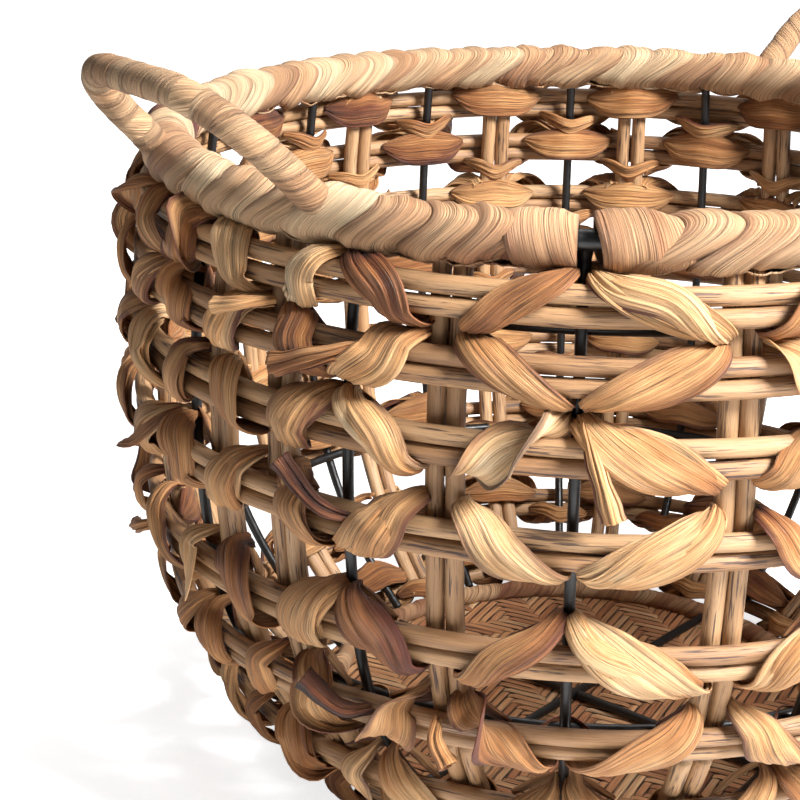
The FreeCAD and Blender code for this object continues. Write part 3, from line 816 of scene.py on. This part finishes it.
def make_handle(side, material):
    """Narrow leaf strip wound closely round the steel loop: fine ridges, one proud turn here and there."""
    grids = Grids()
    azimuth = node_azimuth("handle_core_" + side)
    away, across = outward(azimuth), sideways(azimuth)
    tilt = math.radians(HANDLE["tilt"])
    up = away * math.sin(tilt) + np.array([0, 0, math.cos(tilt)])
    reach = math.sqrt(top_ring_radius ** 2 - HANDLE["half"] ** 2)
    base = away * reach + np.array([0, 0, rim_height])
    count, sides = 620, 36
    flat = handle_line(count)
    path = base + across * flat[:, :1] + up * flat[:, 1:]
    along = unit(np.gradient(path, axis=0))
    plane = np.cross(across, up)
    other = np.cross(along, plane)
    steps = np.linalg.norm(np.diff(path, axis=0), axis=1)
    length = np.concatenate([[0], np.cumsum(steps)])[:, None]
    angle = np.linspace(0, 2 * math.pi, sides, endpoint=False)[None, :]
    wander = np.interp(length, np.linspace(0, length[-1, 0], 24), rng.uniform(-0.35, 0.35, 24))
    winding = length / HANDLE["lead"] + angle / (2 * math.pi) + wander + 2
    number = np.floor(winding)
    part = winding - number
    place_on_strip = number - angle / (2 * math.pi)
    turns = np.arange(0, number.max() + 4)
    rises = np.interp(place_on_strip, turns, rng.uniform(-0.00022, 0.00022, len(turns)))
    strip_tone = np.interp(place_on_strip, turns, np.clip(rng.normal(0.52, 0.15, len(turns)), 0, 1))
    ridge = 0.00042 * np.clip(part * 9, 0, 1) * (1 - 0.75 * part) + rises * np.sin(part * math.pi)
    fine = 0.00007 * np.sin(winding * 2 * math.pi * 6 + place_on_strip * 2) + 0.00005 * np.sin(winding * 97)
    radius = HANDLE["radius"] - 0.0005 + ridge + fine
    ring = plane * np.cos(angle)[..., None] + other[:, None] * np.sin(angle)[..., None]
    points = path[:, None] + ring * radius[..., None]
    round_about = HANDLE["radius"] * (angle + 2 * math.pi * number)
    grain = np.stack(np.broadcast_arrays(round_about, part * HANDLE["lead"], 3.0), -1)
    shade = np.stack(np.broadcast_arrays(strip_tone, np.minimum(part, 1 - part) * 2, 0.0, 0.35), -1)
    grids.add(points, grain, shade, wrap=True)
    return grids.piece("handle_winding_" + side, material)


# ---- floor --------------------------------------------------------------------------------------

def make_woven_floor(material):
    """Flat strips woven in a herringbone twill, trimmed to the base."""
    grids = Grids()
    low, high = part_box("base_panel")
    reach = high.x - 0.0005
    strip = 0.0040               # width of a strip
    over = 5                     # strips that each strip passes over, then under
    block = 15                   # strips before the herringbone turns back
    across_count = int(2 * reach / strip)
    turn = math.radians(31)
    axes = np.array([[math.cos(turn), math.sin(turn), 0], [-math.sin(turn), math.cos(turn), 0]])
    middle = (low.z + high.z) / 2
    swing = 0.00060
    for way in (0, 1):
        run, side_by_side = axes[way], axes[1 - way]
        for number in range(across_count):
            offset = (number + 0.5) * strip - reach
            if abs(offset) >= reach - 0.002:
                continue
            limit = math.sqrt(reach ** 2 - offset ** 2)
            count = max(6, int(2 * limit / strip * 4))
            s = np.linspace(-limit, limit, count)
            cell = np.floor((s + reach) / strip).astype(int)
            zigzag = np.where((cell // block) % 2 == 0, cell, -cell) if way == 0 else cell
            lane = number if way == 0 else np.where((number // block) % 2 == 0, number, -number)
            phase = (zigzag + lane) % (2 * over)
            up = np.where(phase < over, 1.0, -1.0) * (1 if way == 0 else -1)
            smooth = np.convolve(np.pad(up, 2, mode="edge"), np.ones(5) / 5, mode="valid")
            level = middle + swing * smooth + 0.0006
            tone = float(np.clip(rng.normal(0.60, 0.2), 0, 1))
            v = np.linspace(-1, 1, 5)
            crown = 0.00022 * (1 - v ** 2)
            points = (run * s[:, None, None] + side_by_side * (offset + v[None, :, None] * strip * 0.47))
            points = points + np.array([0, 0, 1.0]) * (level[:, None] + crown[None, :])[..., None]
            grain = np.stack(np.broadcast_arrays(s[:, None], v[None, :] * strip / 2, rng.uniform(0, 50)), -1)
            tones = np.stack(np.broadcast_arrays(tone, 1 - np.abs(v)[None, :], 0.0, np.ones((count, 5))), -1)
            grids.add(points, grain, tones)
    return grids.piece("woven_floor", material, thickness=0.0006)


# ---- assembly -----------------------------------------------------------------------------------

def place(piece, slot, *nodes):
    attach(piece, "root")
    if nodes:
        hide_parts(*nodes)


strand_leaf = leaf_material("strand_leaf", STRAND_STOPS, colour(92, 40, 26), crease=0.6)
rim_leaf = leaf_material("rim_leaf", RIM_STOPS, colour(124, 74, 46), crease=0.25)
handle_leaf = leaf_material("handle_leaf", HANDLE_STOPS, colour(118, 78, 52), crease=0.2)
floor_leaf = leaf_material("floor_leaf", FLOOR_STOPS, colour(52, 32, 22), crease=0.2)
rattan = rattan_material()
paint = black_paint()

for name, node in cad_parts.items():
    node.data.materials.clear()
    node.data.materials.append(paint)

for row in rows.values():
    place(make_rods(row, rattan), "rattan", "rod_row_%d" % row.number)
    place(make_strand(row, strand_leaf), "leaf_strand", "leaf_binding_%d" % row.number)
for azimuth, kind, node in stakes:
    if kind == "rattan":
        place(make_stake(azimuth, node, rattan), "rattan", node)
place(make_loose_ends(strand_leaf), "leaf_strand")
place(make_rim(rim_leaf), "rim_leaf", "rim_wrap")
for side in ("left", "right"):
    place(make_handle(side, handle_leaf), "handle_leaf", "handle_wrap_" + side)
place(make_weld(paint), "black_steel")
place(make_base_winding(rim_leaf), "rim_leaf")
place(make_woven_floor(floor_leaf), "floor_strip", "base_panel")


# ---- studio -------------------------------------------------------------------------------------

def make_studio():
    mesh = bpy.data.meshes.new("studio_floor")
    size = 6.0
    corners = [(-size, -size, 0), (size, -size, 0), (size, size, 0), (-size, size, 0)]
    mesh.from_pydata(corners, [], [(0, 1, 2, 3)])
    mesh.materials.append(floor_material())
    ground = bpy.data.objects.new("studio_floor", mesh)
    bpy.context.scene.collection.objects.link(ground)
    world = bpy.data.worlds.new("studio")
    bpy.context.scene.world = world
    world.use_nodes = True
    tree = world.node_tree
    background = tree.nodes["Background"]
    background.inputs[0].default_value = (1, 1, 1, 1)
    seen = tree.nodes.new("ShaderNodeLightPath")
    strength = tree.nodes.new("ShaderNodeMapRange")
    strength.inputs["To Min"].default_value = 0.20
    strength.inputs["To Max"].default_value = 1.0
    tree.links.new(seen.outputs["Is Camera Ray"], strength.inputs["Value"])
    tree.links.new(strength.outputs["Result"], background.inputs[1])


def area_light(name, azimuth, elevation, distance, size, power):
    light = bpy.data.lights.new(name, "AREA")
    light.size = size
    light.energy = power
    obj = bpy.data.objects.new(name, light)
    level = math.radians(elevation)
    target = Vector((0, 0, rim_height / 2))
    direction = Vector(outward(float(azimuth))) * math.cos(level) + Vector((0, 0, math.sin(level)))
    obj.location = target + direction * distance
    obj.rotation_euler = (target - obj.location).to_track_quat("-Z", "Y").to_euler()
    bpy.context.scene.collection.objects.link(obj)


VIEW = {"azimuth": -38.0, "distance": 0.7529, "above_rim": 0.1457,
        "yaw": -6.08, "pitch": 19.21, "roll": 0.56, "lens": 83.97}


def make_camera():
    """Camera at the viewing angle: level turn, downward pitch and a slight roll."""
    data = bpy.data.cameras.new("camera")
    data.sensor_width = 36
    data.lens = VIEW["lens"]
    camera = bpy.data.objects.new("camera", data)
    place_at = Vector(outward(VIEW["azimuth"])) * VIEW["distance"]
    camera.location = place_at + Vector((0, 0, rim_height + VIEW["above_rim"]))
    heading = VIEW["azimuth"] - VIEW["yaw"]
    turn = Matrix.Rotation(math.radians(heading), 4, "Z")
    tip = Matrix.Rotation(math.radians(90 - VIEW["pitch"]), 4, "X")
    roll = Matrix.Rotation(math.radians(VIEW["roll"]), 4, "Z")
    camera.rotation_euler = (turn @ tip @ roll).to_euler()
    bpy.context.scene.collection.objects.link(camera)
    bpy.context.scene.camera = camera


make_studio()
area_light("key", VIEW["azimuth"] + 58, elevation=42, distance=1.6, size=0.5, power=80)
area_light("back", VIEW["azimuth"] + 170, elevation=60, distance=1.8, size=0.9, power=8)
make_camera()
bpy.context.scene.view_settings.view_transform = "Standard"
